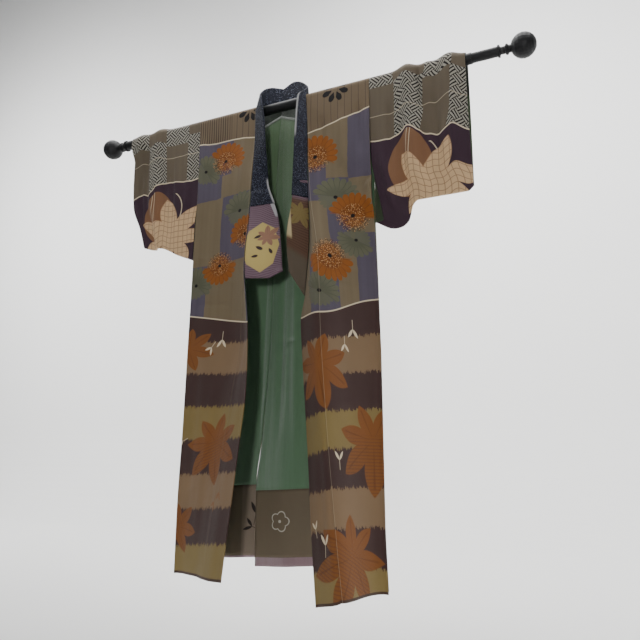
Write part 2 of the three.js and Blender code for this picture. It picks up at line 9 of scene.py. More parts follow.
import bpy
import mathutils
import numpy as np
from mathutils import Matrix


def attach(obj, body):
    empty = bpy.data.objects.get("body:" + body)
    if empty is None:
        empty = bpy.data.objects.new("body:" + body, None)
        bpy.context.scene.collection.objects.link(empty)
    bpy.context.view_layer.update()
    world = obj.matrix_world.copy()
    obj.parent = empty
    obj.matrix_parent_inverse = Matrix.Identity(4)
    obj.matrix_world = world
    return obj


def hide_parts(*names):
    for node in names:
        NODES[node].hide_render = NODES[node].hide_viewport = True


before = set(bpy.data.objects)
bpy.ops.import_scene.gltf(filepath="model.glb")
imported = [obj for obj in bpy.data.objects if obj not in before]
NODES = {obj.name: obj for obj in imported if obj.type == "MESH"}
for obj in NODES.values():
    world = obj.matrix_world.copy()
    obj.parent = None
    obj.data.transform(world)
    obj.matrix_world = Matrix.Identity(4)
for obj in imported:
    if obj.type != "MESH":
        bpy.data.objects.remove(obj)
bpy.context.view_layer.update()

# ---- Garment sizes, mm ----
SIGN = {"left": -1, "right": 1}
CLOTH, LINING, COLLAR_CLOTH, OVER_COLLAR = 1.4, 1.0, 3.0, 1.0
SEAM = 0.3  # space between neighbouring pieces
OVER_OFF = COLLAR_CLOTH / 2 + SEAM + OVER_COLLAR / 2
EDGE_SHARE = 0.06  # share of the over-collar's half width that turns round the free edge
OVER_COLLAR_END = 385  # how far down the fronts the over-collar reaches
OVER_COLLAR_FACE = 70  # its width on each face, for the print
ROD_R = 16
DRAPE_R = 18  # cloth over the rod, at mid thickness
QUARTER = math.pi / 2 * DRAPE_R
ARMHOLE, SIDE_SEAM_TOP = 230, 400
COLLAR_END = {"left": 637, "right": 700}
PANEL_TOP = 330  # where the overlap panels start, measured down from the ridge
COLLAR_PULL = 2.6  # the collar's sewn edge stands off its seam by this
COLLAR_STEP, STEP = 1.4, 1e-3  # length and share over which the collar's directions are taken
CORNER_LENGTH, CORNER_SHARE, CORNER_LIFT = 40, 0.4, 20  # lifted corner at the left collar's end
NECK_BACK = -55  # the neckline's middle, measured down the back from the ridge
NECK_BACK_Y, NECK_BACK_Z = 48, 40
NECK_SETTLE = 200  # length over which the back settles under the neck
NECK_LEVEL = -420  # where the neck's lift has faded out, down the back
SIDE_BULGE = 0.9  # how squarely the cloth leaves its side seams in plan
HEM_SWAY_TOP = -600  # the hem's slope fades out up to this height
FOLD_FADE, EDGE_FADE = 220, 0.08  # folds come in over this height and this share of the width
CREASE_END = 0.3  # share of a crease's length over which it fades at each end
BACK_Y = 46  # how far behind the rod the centre-back seam hangs
BACK_SEAM_Y = {"left": -9, "right": 1}  # the back's side seam under the armhole
BACK_DEEP_TOP, BACK_DEEP_OVER = 60, 400  # depths over which the back takes up its own curve
BACK_CURVE = 1.7  # that curve is full at 1 over this share of the width
BACK_HEM_LIFT = 8  # the back's hem starts this far above the front's
BACK_CALM = 0.03  # creases fade out over this share beside the centre-back seam
LINING_TOP, LINING_SIDE = -95, 0.08  # the lining's top edge, and the share left bare at the side
FACING_TOP = 1250  # top of the brown hem facing, below the rod
FACING_RISE = {"left": 6, "right": 26}  # it ends this far above the hem
TURN_R = 5  # round fold along a sleeve's bottom
TAPER_TOP = 160  # a sleeve hangs straight down to this depth, then narrows
SLEEVE_FLAT, SLEEVE_CALM, CREASE_CALM = 60, 90, 60  # fades at its top, folds' and creases' at its bottom
BUNCH_START = 0.15  # bunches on the rod start this share from the body
FOLD_COPIES, CREASE_COPIES = 0.6, 0.5  # share of a front fold and crease that a sleeve's back follows
PANEL_SEAM_OFF = 20  # keeps the seam's lines off the overlap panel
MM = 0.001


class Table:
    """Rows of named columns, read smoothly at any key and never past the rows' own values."""

    def __init__(self, columns, *rows):
        self.columns = columns.split()
        self.rows = np.array(sorted(rows), float)

    def __call__(self, column, at):
        keys, values = self.rows[:, 0], self.rows[:, self.columns.index(column)]
        slope = np.diff(values) / np.diff(keys)
        before, after = slope[:-1], slope[1:]
        total = np.where(before * after > 0, before + after, 1)
        inner = np.where(before * after > 0, 2 * before * after / total, 0)
        tangent = np.concatenate([slope[:1], inner, slope[-1:]])
        at = np.clip(np.asarray(at, float), keys[0], keys[-1])
        i = np.clip(np.searchsorted(keys, at, side="right") - 1, 0, len(keys) - 2)
        step = keys[i + 1] - keys[i]
        t = (at - keys[i]) / step
        return hermite(values[i], values[i + 1], tangent[i] * step, tangent[i + 1] * step, t)


def hermite(a, b, leave_a, reach_b, t):
    square, cube = t * t, t * t * t
    return ((2 * cube - 3 * square + 1) * a + (cube - 2 * square + t) * leave_a
            + (3 * square - 2 * cube) * b + (cube - square) * reach_b)


def mix(a, b, t):
    return a + (b - a) * t


def ease(t):
    t = np.clip(t, 0, 1)
    return t * t * (3 - 2 * t)


# Plan of each front at heights below the rod: side edge, panel seam and free edge.
PLAN = "z side_x side_y seam_x seam_y edge_x edge_y"
FRONT = {
    "left": Table(
        PLAN,
        (0, -332, -18, -110, -18, -108, -18),
        (-107, -331, -20, -110, -22, -108, -22),
        (-258, -333, -21, -108, -44, -104, -48),
        (-400, -346, -13, -112, -54, -95, -80),
        (-609, -354, -11, -126, -58, -63, -150),
        (-760, -360, -11, -132, -52, -48, -152),
        (-932, -366, -11, -144, -75, -44, -160),
        (-1096, -373, -11, -159, -97, -54, -174),
        (-1253, -381, -11, -176, -115, -67, -187),
        (-1470, -385, -11, -194, -138, -83, -207)),
    "right": Table(
        PLAN,
        (0, 288, -18, 75, -18, 73, -18),
        (-107, 288, -20, 82, -24, 80, -24),
        (-225, 288, -22, 88, -34, 85, -34),
        (-345, 290, -14, 106, -62, 99, -50),
        (-530, 294, -4, 154, -118, 117, -85),
        (-672, 297, -2, 178, -154, 112, -104),
        (-740, 298, -1, 184, -162, 103, -111),
        (-850, 300, -1, 193, -170, 110, -115),
        (-1140, 300, -1, 217, -180, 133, -126),
        (-1300, 300, -1, 233, -185, 145, -136),
        (-1475, 305, -1, 249, -180, 159, -140)),
}

# Heights of the hem from the side round to the free front edge, and along the back.
HEM = {
    "left": {"side": -1470, "seam": -1450, "edge": -1438, "back_middle": -1424, "back_centre": -1416},
    "right": {"side": -1475, "seam": -1462, "edge": -1490, "back_middle": -1428, "back_centre": -1442},
}

BACK_SEAM = Table(
    "z x", (0, -44), (-296, -68), (-697, -80), (-1102, -112), (-1251, -130), (-1475, -132))

# Neckline: l is measured over the ridge, negative behind it.
NECK = {
    "left": Table(
        "l x y z", (NECK_BACK, -44, 48, 40), (-42, -72, 43, 39), (-26, -92, 30, 34),
        (-12, -103, 14, 25), (0, -108, 0, DRAPE_R)),
    "right": Table(
        "l x y z", (NECK_BACK, -44, 48, 40), (-42, 8, 44, 39), (-26, 46, 30, 34),
        (-12, 65, 14, 25), (0, 73, 0, DRAPE_R)),
}

# The collar's free edge beside the same l of its sewn edge.
COLLAR = {
    "left": Table(
        "l x y z", (NECK_BACK, -44, 52, 93), (-42, -76, 42, 101), (-26, -90, 22, 92),
        (0, -92, -14, 60), (40, -74, -46, 14), (135, -57, -52, -104), (286, -54, -36, -258),
        (425, -12, -44, -384), (540, 18, -74, -500), (637, 38, -100, -608)),
    "right": Table(
        "l x y z", (NECK_BACK, -44, 52, 93), (-42, -6, 46, 105), (-26, 28, 28, 90),
        (0, 74, -6, 38), (40, 60, -44, -2), (135, 59, -60, -108), (253, 60, -72, -226),
        (373, 61, -84, -340), (558, 51, -102, -490), (700, 60, -104, -592)),
}

# Soft folds: at and width are shares of the piece's own width, out is how far it stands out, and start
# is the height under which it begins.
FOLDS = {
    "front_left": [(0.22, 0.14, 7, -520), (0.5, 0.12, -6, -300), (0.8, 0.1, 5, -700)],
    "front_right": [(0.2, 0.12, 6, -420), (0.42, 0.1, -7, -160), (0.66, 0.1, 5, -600)],
    "back_left": [(0.3, 0.16, 8, -150), (0.68, 0.14, -9, -260)],
    "back_right": [(0.78, 0.12, -9, -120), (0.52, 0.14, 8, -260), (0.26, 0.14, -7, -420)],
    "sleeve_left": [(0.3, 0.1, 5, -60), (0.52, 0.1, -6, -30)],
    "sleeve_right": [(0.16, 0.09, 6, -60), (0.33, 0.07, -8, -20), (0.46, 0.09, 13, 0),
                     (0.6, 0.06, -7, 0), (0.8, 0.1, 7, 0)],
}

# A sleeve's bottom and outer edges, how its cuff end is set back (from, to, by), where it bunches up on
# the rod (at, width, lift), and how far its inner edges hang off the body (by, from depth, over depth).
SLEEVE = {
    "left": {
        "bottom": Table("s z", (0, -478), (0.3, -452), (0.62, -417), (0.85, -410), (1, -398)),
        "outer": Table("z x", (20, -632), (-120, -638), (-240, -636), (-330, -606), (-480, -566)),
        "set_back": (0.68, 0.8, 24), "bunch": [(0.58, 0.1, 9), (0.86, 0.08, 6)],
        "front_slack": (8, ARMHOLE, 120), "back_slack": (8, ARMHOLE, 120)},
    "right": {
        "bottom": Table("s z", (0, -446), (0.2, -474), (0.28, -462), (0.36, -412), (0.44, -398),
                        (0.94, -397), (1, -384)),
        "outer": Table("z x", (20, 581), (-200, 582), (-480, 584)),
        "set_back": (0.9, 1, 0), "bunch": [(0.4, 0.09, 12), (0.62, 0.05, 4), (0.84, 0.1, 13)],
        "front_slack": (30, ARMHOLE, 260), "back_slack": (-2, 325, 40)},
}


# Creases, listed one by one: from (x, z) to (x, z), how wide, and how far they stand out of the outer face.
CREASES = {
    "front_left": [
        (-318, -40, -296, -230, 12, 4.5), (-262, -60, -250, -330, 15, -4.5),
        (-150, -60, -146, -300, 14, 4.5),
        (-334, -598, -196, -622, 5, 2.4), (-338, -634, -176, -652, 6, -3), (-230, -560, -150, -590, 5, 2.1),
        (-310, -760, -330, -1380, 20, -4), (-236, -860, -280, -1420, 16, 3),
        (-180, -1120, -205, -1440, 14, -3),
        (-360, -1240, -250, -1200, 7, 2.2), (-350, -470, -250, -500, 8, 2.1)],
    "front_right": [
        (252, -50, 262, -240, 12, -4.5), (196, -60, 206, -290, 14, 4.5), (128, -70, 132, -260, 12, -3.8),
        (280, -300, 284, -420, 16, 10.5), (250, -340, 288, -300, 9, -3.8), (288, -586, 176, -606, 5, 2.7),
        (290, -636, 196, -646, 5, -2.7), (244, -556, 288, -548, 5, 1.8), (226, -720, 244, -1400, 18, -6),
        (276, -780, 280, -1360, 14, 4.5), (182, -1040, 210, -1440, 15, -4.5),
        (296, -1300, 220, -1250, 8, 2.2)],
    "back_left": [
        (-92, -380, -126, -1180, 9, 6), (-150, -300, -180, -1260, 16, -7.5),
        (-230, -260, -262, -1380, 18, 9),
        (-112, -770, -190, -782, 4, 2.1), (-300, -240, -318, -900, 14, 6)],
    "back_right": [
        (-24, -300, -52, -1150, 11, 7.5), (14, -420, 4, -1200, 9, -6), (58, -260, 70, -1240, 15, 7.5),
        (-74, -786, 62, -768, 4, 2.4), (-60, -930, 50, -944, 4, -1.8), (150, -220, 162, -1300, 18, -9),
        (230, -260, 236, -1340, 16, 7.5)],
    "sleeve_left": [
        (-382, -40, -376, -330, 12, 4.5), (-444, -70, -436, -420, 9, -4.5), (-520, -60, -506, -400, 10, 6),
        (-604, -90, -598, -330, 9, -6), (-350, -300, -352, -440, 9, 4.5)],
    "sleeve_right": [
        (438, 8, 446, -150, 7, -10.5), (352, -60, 346, -330, 10, -6), (402, -140, 398, -370, 9, 6),
        (488, -60, 494, -350, 12, -7.5), (540, -40, 536, -340, 9, 6), (320, -240, 330, -430, 9, 6)],
}


# ---- Surfaces at mid thickness, in mm ----
def crease_out(name, x, z):
    """How far the creases of a piece stand out at x and z; each one fades towards its ends."""
    total = 0
    for x0, z0, x1, z1, width, out in CREASES[name]:
        dx, dz = x1 - x0, z1 - z0
        along = ((x - x0) * dx + (z - z0) * dz) / (dx * dx + dz * dz)
        aside = ((x - x0) * dz - (z - z0) * dx) / math.hypot(dx, dz) / width
        ends = ease(along / CREASE_END) * ease((1 - along) / CREASE_END)
        total = total + out * np.exp(-aside * aside) * ends
    return total


def fold_out(name, across, z):
    """How far the folds of a piece stand out at a share of its width and a height."""
    total = 0
    for at, width, out, start in FOLDS[name]:
        total = total + out * np.exp(-((across - at) / width) ** 2) * ease((start - z) / FOLD_FADE)
    return total * ease(across / EDGE_FADE) * ease((1 - across) / EDGE_FADE)


def hem_share(side, height):
    """Share of the hem's slope that a height has."""
    return ease((HEM_SWAY_TOP - height) / (HEM_SWAY_TOP - HEM[side]["side"]))


def arrays(*values):
    return np.broadcast_arrays(*(np.asarray(v, float) for v in values))


def point(x, y, z):
    return np.stack(np.broadcast_arrays(x, y, z), -1)


def front_point(side, w, l):
    """w is 0 at the side, 1 at the panel seam and 2 at the free edge; l is measured down from the ridge."""
    w, l = arrays(w, l)
    hem, plan = HEM[side], FRONT[side]
    height = QUARTER - np.maximum(l, QUARTER)
    sx, sy, mx, my, ex, ey = (plan(column, height) for column in PLAN.split()[1:])
    body, panel = np.hypot(mx - sx, my - sy), np.hypot(ex - mx, ey - my)
    share = body / (body + panel)
    tx, ty = (ex - sx) * share, (ey - sy) * share
    turn = panel / body
    on_body = w <= 1
    x = np.where(on_body, hermite(sx, mx, np.sign(mx - sx) * body * SIDE_BULGE, tx, w),
                 hermite(mx, ex, tx * turn, (ex - mx) * SIDE_BULGE, w - 1))
    y = np.where(on_body, hermite(sy, my, 0, ty, w),
                 hermite(my, ey, ty * turn, (ey - my) * SIDE_BULGE, w - 1))
    across = np.where(on_body, w * share, share + (w - 1) * (1 - share))
    y = y - fold_out("front_" + side, across, height) - crease_out("front_" + side, x, height)
    drop = np.where(on_body, mix(hem["side"], hem["seam"], w), mix(hem["seam"], hem["edge"], w - 1))
    z = height + (drop - hem["side"]) * hem_share(side, height)
    angle = l / DRAPE_R
    ridge_x = mix(plan("side_x", 0), NECK[side]("x", np.minimum(l, 0)), np.clip(w, 0, 1))
    over = point(ridge_x, -DRAPE_R * np.sin(angle), DRAPE_R * np.cos(angle))
    return np.where((l < QUARTER)[..., None], over, point(x, y, z))


def back_point(side, u, l):
    """u is 0 at the side and 1 at the neckline or the centre-back seam; l is negative, down the back."""
    u, l = arrays(u, l)
    hem = HEM[side]
    height = np.where(-l < QUARTER, DRAPE_R * np.cos(np.minimum(-l, QUARTER) / DRAPE_R), QUARTER + l)
    rod_y = DRAPE_R * np.sin(np.minimum(-l, QUARTER) / DRAPE_R)
    side_y = mix(rod_y, BACK_SEAM_Y[side], ease((-height - ARMHOLE) / (SIDE_SEAM_TOP - ARMHOLE)))
    side_x = FRONT[side]("side_x", np.minimum(0, height))
    neck = l > NECK_BACK
    edge_x = np.where(neck, NECK[side]("x", l), BACK_SEAM("x", np.minimum(0, height)))
    settled = mix(NECK_BACK_Y, BACK_Y, ease((NECK_BACK - l) / NECK_SETTLE))
    edge_y = np.where(neck, NECK[side]("y", l), settled)
    fall = (NECK_BACK_Z - QUARTER - NECK_BACK) * ease((l - NECK_LEVEL) / (NECK_BACK - NECK_LEVEL))
    edge_z = np.where(neck, NECK[side]("z", l), height + fall)
    deep = ease((-height - BACK_DEEP_TOP) / BACK_DEEP_OVER)
    rise = mix(u**3, np.sin(math.pi / 2 * np.minimum(1, u * BACK_CURVE)), deep)
    y = mix(side_y, edge_y, rise) + fold_out("back_" + side, u, height)
    y = y + crease_out("back_" + side, mix(side_x, edge_x, u), height) * ease((1 - u) / BACK_CALM)
    drop = np.where(u < 0.5, mix(hem["side"] + BACK_HEM_LIFT, hem["back_middle"], u * 2),
                    mix(hem["back_middle"], hem["back_centre"], u * 2 - 1))
    z = mix(height, edge_z, u**3) + (drop - hem["side"]) * hem_share(side, height)
    return point(mix(side_x, edge_x, u), y, z)


def body_point(side, u, l):
    u, l = arrays(u, l)
    return np.where((l >= 0)[..., None], front_point(side, u, l), back_point(side, u, np.minimum(l, 0)))


def sewn_point(side, l):
    """The collar's seam: neckline, the body's front edge, then the overlap panel's edge."""
    front = np.where((l < PANEL_TOP)[..., None], front_point(side, 1.0, l), front_point(side, 2.0, l))
    return np.where((l < 0)[..., None], back_point(side, 1.0, np.minimum(l, 0)), front)


def collar_half(side, l, w):
    """One side of the collar; w is 0 at the seam and 1 at the free edge."""
    sewn = sewn_point(side, l)
    free = point(*(COLLAR[side](axis, l) for axis in "xyz"))
    across = free - sewn
    pull = COLLAR_PULL / np.linalg.norm(across, axis=-1)
    if side == "left":
        near_end = ease((l - COLLAR_END["left"] + CORNER_LENGTH) / CORNER_LENGTH)
        corner = ease((w - 1 + CORNER_SHARE) / CORNER_SHARE) * near_end
        sewn = sewn + CORNER_LIFT * corner[..., None] * np.array([0, 0, 1])
    return sewn + across * mix(pull, 1, w)[..., None]


def collar_point(s, w):
    """s runs along the collar from the back of the neck, negative to the left; w from seam to free edge."""
    s, w = arrays(s, w)
    l = NECK_BACK + np.abs(s)
    return np.where((s < 0)[..., None], collar_half("left", l, w), collar_half("right", l, w))


def over_collar_point(s, w):
    """w is -1 to 0 on the collar's outer face and 0 to 1 on its inner one."""
    s, w = arrays(s, w)
    at = 1 - np.maximum(0, np.abs(w) - EDGE_SHARE) / (1 - EDGE_SHARE)
    across = collar_point(s, at + STEP) - collar_point(s, at - STEP)
    along = collar_point(s + COLLAR_STEP, at) - collar_point(s - COLLAR_STEP, at)
    normal = unit(np.cross(unit(along), unit(across)))
    angle = np.minimum(1, np.abs(w) / EDGE_SHARE) * math.pi / 2
    away = unit(across) * np.cos(angle)[..., None] + normal * (np.sin(angle) * np.sign(w))[..., None]
    return collar_point(s, at) + OVER_OFF * away


def sleeve_point(side, s, t):
    """s is 0 at the body and 1 at the cuff. t goes round: 0 ridge, 1 rod height, 2 to 3 the bottom fold,
    positive in front and negative behind."""
    s, t = arrays(s, t)
    shape = SLEEVE[side]
    bottom = shape["bottom"]("z", s)
    straight = -bottom - TURN_R
    lift = sum(high * np.exp(-((s - at) / width) ** 2) for at, width, high in shape["bunch"])
    over = DRAPE_R + lift * ease(s / BUNCH_START)
    part, face = np.abs(t), np.where(t > 0, 1, -1)
    z_side = -(part - 1) * straight
    wide = mix(over, DRAPE_R, ease(-z_side / TAPER_TOP))
    taper = mix(wide, TURN_R, ease((-z_side - TAPER_TOP) / (straight - TAPER_TOP)))
    turn, arch = (part - 2) * math.pi / 2, part * math.pi / 2
    y = np.where(part < 1, over * np.sin(arch), np.where(part < 2, taper, TURN_R * np.cos(turn)))
    z = np.where(part < 1, over * np.cos(arch),
                 np.where(part < 2, z_side, -straight - TURN_R * np.sin(turn)))
    push = fold_out("sleeve_" + side, s, z) * ease(-z / SLEEVE_FLAT) * ease((z - bottom) / SLEEVE_CALM)
    start, end, by = shape["set_back"]
    back = by * ease((s - start) / (end - start)) * ease((-z - ROD_R) / SLEEVE_FLAT)
    flat_x = mix(FRONT[side]("side_x", 0), shape["outer"]("x", z), s)
    crease = crease_out("sleeve_" + side, flat_x, z) * ease((z - bottom) / CREASE_CALM)
    behind = y + np.maximum(0, push) * FOLD_COPIES + crease * CREASE_COPIES
    y = np.where(face > 0, -y - push - crease, behind) + back
    seam_x = FRONT[side]("side_x", np.minimum(0, z))
    front_slack, back_slack = (by * ease((-z - top) / over) for by, top, over in
                               (shape["front_slack"], shape["back_slack"]))
    slack = mix(back_slack, front_slack, ease(0.5 - y / (2 * TURN_R)))
    inner = seam_x + SIGN[side] * (SEAM + slack)
    return point(mix(inner, shape["outer"]("x", z), s), y, z)


# ---- Closed shells ----
def unit(v):
    return v / np.maximum(np.linalg.norm(v, axis=-1, keepdims=True), 1e-9)


def arc(middle, axis):
    """Length along one axis of a grid of points, from its first point."""
    first = middle[:1] if axis == 0 else middle[:, :1]
    return np.cumsum(np.linalg.norm(np.diff(middle, axis=axis, prepend=first), axis=-1), axis)


def shell(name, middle, thick, materials, cloth, sign=1, off=0.0, closed=False, seam=None):
    """A closed cloth wall round a grid of points, whose outer face is off + half the thickness out.
    Face materials: outer, inner, cut edges. cloth is the UV map: millimetres across and down the cloth.
    With closed set, the grid's last column meets its first one. seam is the distance from a seam, in mm."""
    rows = np.concatenate([middle[:, -2:-1], middle, middle[:, 1:2]], 1) if closed else middle
    along = np.gradient(rows, axis=1)
    normal = unit(np.cross(np.gradient(middle, axis=0), along[:, 1:-1] if closed else along)) * sign
    if closed:
        middle, normal = middle[:, :-1], normal[:, :-1]
        cloth = [field[:, :-1] for field in cloth]
    half = middle.shape[0] * middle.shape[1]
    grid = np.arange(half).reshape(middle.shape[:2])
    cells = np.concatenate([grid, grid[:, :1]], 1) if closed else grid
    face = np.stack([cells[:-1, :-1], cells[1:, :-1], cells[1:, 1:], cells[:-1, 1:]], -1).reshape(-1, 4)
    ends = [(cells[0, :-1], cells[0, 1:]), (cells[-1, 1:], cells[-1, :-1])]
    if not closed:
        ends += [(cells[1:, 0], cells[:-1, 0]), (cells[:-1, -1], cells[1:, -1])]
    rim = np.concatenate([np.stack([p, q, q + half, p + half], -1) for p, q in ends])
    points = np.concatenate([(middle + normal * (off + d)).reshape(-1, 3) for d in (thick / 2, -thick / 2)])
    which = np.repeat([0, 1, 2], [len(face), len(face), len(rim)])
    obj = mesh_object(name, points, np.concatenate([face, (face + half)[:, ::-1], rim]), which, materials)
    flat = np.stack([np.broadcast_to(field, grid.shape).ravel() for field in cloth], -1)
    corners = np.zeros(len(obj.data.loops), np.int64)
    obj.data.loops.foreach_get("vertex_index", corners)
    obj.data.uv_layers.new(name="cloth").data.foreach_set("uv", flat[corners % half].ravel())
    if seam is not None:
        beside = np.tile(np.broadcast_to(seam, grid.shape).ravel(), 2)
        obj.data.attributes.new("seam", "FLOAT", "POINT").data.foreach_set("value", beside)
    return obj


def mesh_object(name, points, faces, which, materials):
    corner = points[faces[:, :3]]
    if np.einsum("ij,ij->i", corner[:, 0], np.cross(corner[:, 1], corner[:, 2])).sum() < 0:
        faces = faces[:, ::-1]
    mesh = bpy.data.meshes.new(name)
    mesh.from_pydata((points * MM).tolist(), [], faces.tolist())
    for material in materials:
        mesh.materials.append(material)
    mesh.polygons.foreach_set("material_index", which.astype(np.int32))
    mesh.polygons.foreach_set("use_smooth", which < 2)
    mesh.update()
    obj = bpy.data.objects.new(name, mesh)
    bpy.context.scene.collection.objects.link(obj)
    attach(obj, "root")
    return obj


# ---- Fields: numbers that vary over the cloth, built as node trees ----
def linear(r, g, b):
    """A colour given as 0-255 display values, as the linear values that a shader takes."""
    return tuple((v / 255 / 12.92) if v < 10.3 else ((v / 255 + 0.055) / 1.055) ** 2.4 for v in (r, g, b))


def feed(tree, node, inputs):
    """Gives each input of a node, by name or number, its value, socket or Field."""
    for name, value in inputs.items():
        value = getattr(value, "socket", value)
        if isinstance(value, bpy.types.NodeSocket):
            tree.links.new(value, node.inputs[name])
        else:
            node.inputs[name].default_value = value


def add_node(tree, kind, inputs=(), output=0, **settings):
    """Adds a shader node with these inputs and settings, and gives one of its outputs as a Field."""
    node = tree.nodes.new("ShaderNode" + kind)
    for name, value in settings.items():
        setattr(node, name, value)
    feed(tree, node, dict(inputs))
    return Field(tree, node.outputs[output])


def new_material(name, inputs):
    """A material, its node tree, and its shader with these inputs."""
    material = bpy.data.materials.new(name)
    material.use_nodes = True
    shader = material.node_tree.nodes["Principled BSDF"]
    feed(material.node_tree, shader, inputs)
    return material, material.node_tree, shader


class Field:
    """What one socket gives, mostly a number over the cloth; arithmetic on it adds math nodes."""

    def __init__(self, tree, socket):
        self.tree, self.socket = tree, socket

    def math(self, operation, *others):
        return add_node(self.tree, "Math", enumerate((self, *others)), operation=operation)

    __add__, __sub__ = partialmethod(math, "ADD"), partialmethod(math, "SUBTRACT")
    __mul__, __truediv__ = partialmethod(math, "MULTIPLY"), partialmethod(math, "DIVIDE")
    __pow__, __abs__ = partialmethod(math, "POWER"), partialmethod(math, "ABSOLUTE")
    floor, fract = partialmethod(math, "FLOOR"), partialmethod(math, "FRACT")
    sin, at_least = partialmethod(math, "SINE"), partialmethod(math, "MAXIMUM")

    def __rsub__(self, other):
        return self * -1.0 + other

    def ramp(self, low, high):
        """0 below low, 1 above high, smooth between; low may be the larger one."""
        flip = low > high
        inputs = {"Value": self, "From Min": min(low, high), "From Max": max(low, high),
                  "To Min": float(flip), "To Max": float(not flip)}
        return add_node(self.tree, "MapRange", inputs, interpolation_type="SMOOTHSTEP")

    def within(self, low, high, soft=1.0):
        """1 between low and high, with soft edges of that width."""
        return self.ramp(low - soft / 2, low + soft / 2) * self.ramp(high + soft / 2, high - soft / 2)


class Cloth:
    """A woven or printed material drawn in cloth millimetres: x across the piece, y down it."""

    def __init__(self, name, ground, roughness=0.8, specular=0.18):
        self.material, self.tree, self.shader = new_material(
            name, {"Roughness": roughness, "Specular IOR Level": specular})
        uv = add_node(self.tree, "UVMap", uv_map="cloth")
        self.x, self.y = (add_node(self.tree, "SeparateXYZ", {0: uv}, axis) for axis in "XY")
        self.seam = add_node(self.tree, "Attribute", output="Fac", attribute_name="seam")
        self.height = None
        self.colour = add_node(self.tree, "RGB")
        self.colour.socket.default_value = (*ground, 1)

    def paint(self, mask, colour, strength=1.0):
        """Lays a colour over what is painted so far, where mask is 1."""
        amount = mask if strength == 1.0 else mask * strength
        inputs = {"Factor": amount, "A": self.colour, "B": (*colour, 1)}
        self.colour = add_node(self.tree, "Mix", inputs, "Result", data_type="RGBA")

    def shade(self, field):
        """Multiplies the colour by a field near 1."""
        inputs = {0: self.colour, "Scale": field}
        self.colour = add_node(self.tree, "VectorMath", inputs, operation="SCALE")

    def _vector(self, x_size, y_size, shift=0.0):
        return add_node(self.tree, "CombineXYZ", {0: self.x / x_size, 1: self.y / y_size, 2: shift})

    def noise(self, x_size, y_size, detail=2.0, shift=0.0):
        """Cloudy noise from 0 to 1, whose clouds are about x_size by y_size millimetres."""
        inputs = {"Scale": 1.0, "Detail": detail, "Vector": self._vector(x_size, y_size, shift)}
        return add_node(self.tree, "TexNoise", inputs)

    def cells(self, size):
        """Distance from the nearest of scattered points, about 0 to 0.7 of their spacing."""
        inputs = {"Scale": 1.0, "Vector": self._vector(size, size)}
        return add_node(self.tree, "TexVoronoi", inputs, "Distance", voronoi_dimensions="3D")

    def by_thread(self, field, width, seed=0.0):
        """A random value from 0 to 1 for each strip of that width of the field."""
        inputs = {"W": (field / width).floor() + seed}
        return add_node(self.tree, "TexWhiteNoise", inputs, "Value", noise_dimensions="1D")

    def local(self, at, turn, stretch=1.0):
        """Distances from a point, along turn degrees and to the side of that."""
        a = math.radians(turn)
        dx, dy = self.x - at[0], (self.y - at[1]) / stretch
        return dx * math.cos(a) + dy * math.sin(a), dy * math.cos(a) - dx * math.sin(a)

    def polar(self, at, turn, stretch=1.0):
        """Distance from a point, and the angle round it from -pi to pi, with 0 along turn degrees."""
        along, side = self.local(at, turn, stretch)
        return (along * along + side * side).math("SQRT"), side.math("ARCTAN2", along)

    def raise_by(self, field):
        self.height = field if self.height is None else self.height + field

    def finish(self, bump=0.4, distance=0.0006, sheen=0.04):
        normal = add_node(
            self.tree, "Bump", {"Strength": bump, "Distance": distance, "Height": self.height})
        feed(self.tree, self.shader, {
            "Base Color": self.colour, "Normal": normal, "Sheen Weight": sheen, "Sheen Roughness": 0.5})
        return self.material


# ---- Colours, as display values ----
TAUPE, SLATE, OLIVE = linear(104, 89, 70), linear(82, 75, 87), linear(110, 97, 76)
PURPLE, TAN, MUSTARD = linear(66, 49, 46), linear(124, 101, 76), linear(125, 107, 66)
ORANGE, LEAF, CREAM = linear(134, 78, 30), linear(122, 76, 40), linear(214, 198, 168)
# the black below is the print's, and is also laid as painted shade along the panel seam and the lining's
# top edge
GREY_GREEN, BLACK_PRINT_AND_SHADE = linear(92, 92, 74), linear(20, 18, 20)
DEEP_PURPLE, PEACH, INK = linear(58, 42, 52), linear(176, 124, 88), linear(40, 34, 32)
SILVER, YELLOW, MAUVE = linear(150, 146, 134), linear(176, 156, 96), linear(112, 90, 100)
PALE_EDGE = linear(160, 158, 160)


# ---- Motifs ----
def lines(field, gap, edge, full):
    """Evenly spaced lines: 1 within full of their middle and 0 beyond edge, as shares of the gap."""
    return abs((field / gap).fract() - 0.5).ramp(edge, full)


def chrysanthemum(c, at, size, turn, petal, speckle, stretch=1.0):
    """A flower seen from the side: whole petals on the half towards turn, speckled ones on the other."""
    r, angle = c.polar(at, turn, stretch)
    r = r / size
    petals = abs((angle * 10.0).sin())
    edge = petals ** 0.4 * 0.24 + 0.76
    towards = abs(angle).ramp(1.7, 1.55)
    whole = (r - edge).ramp(0.02, -0.02) * towards
    c.paint(whole, petal)
    c.paint(whole * petals.ramp(0.3, 0.05) * r.ramp(0.25, 0.6), BLACK_PRINT_AND_SHADE, 0.35)
    c.paint(whole * r.ramp(0.7, 0.3), BLACK_PRINT_AND_SHADE, 0.2)
    under = (r - edge * 0.72).ramp(0.03, -0.03)
    if speckle is None:
        c.paint(under * (1.0 - towards), petal, 0.9)
    else:
        near = under * (1.0 - towards * r.ramp(0.46, 0.58))
        c.paint(near * (r.ramp(0.6, 0.4) * 0.6 + speckle.ramp(0.62, 0.5) * 0.4), petal)
        c.paint(near * speckle.ramp(0.5, 0.62), BLACK_PRINT_AND_SHADE, 0.4)
        c.paint(near * speckle.ramp(0.34, 0.2), linear(206, 172, 124), 0.8)
    c.paint(r.ramp(0.1, 0.07), BLACK_PRINT_AND_SHADE)


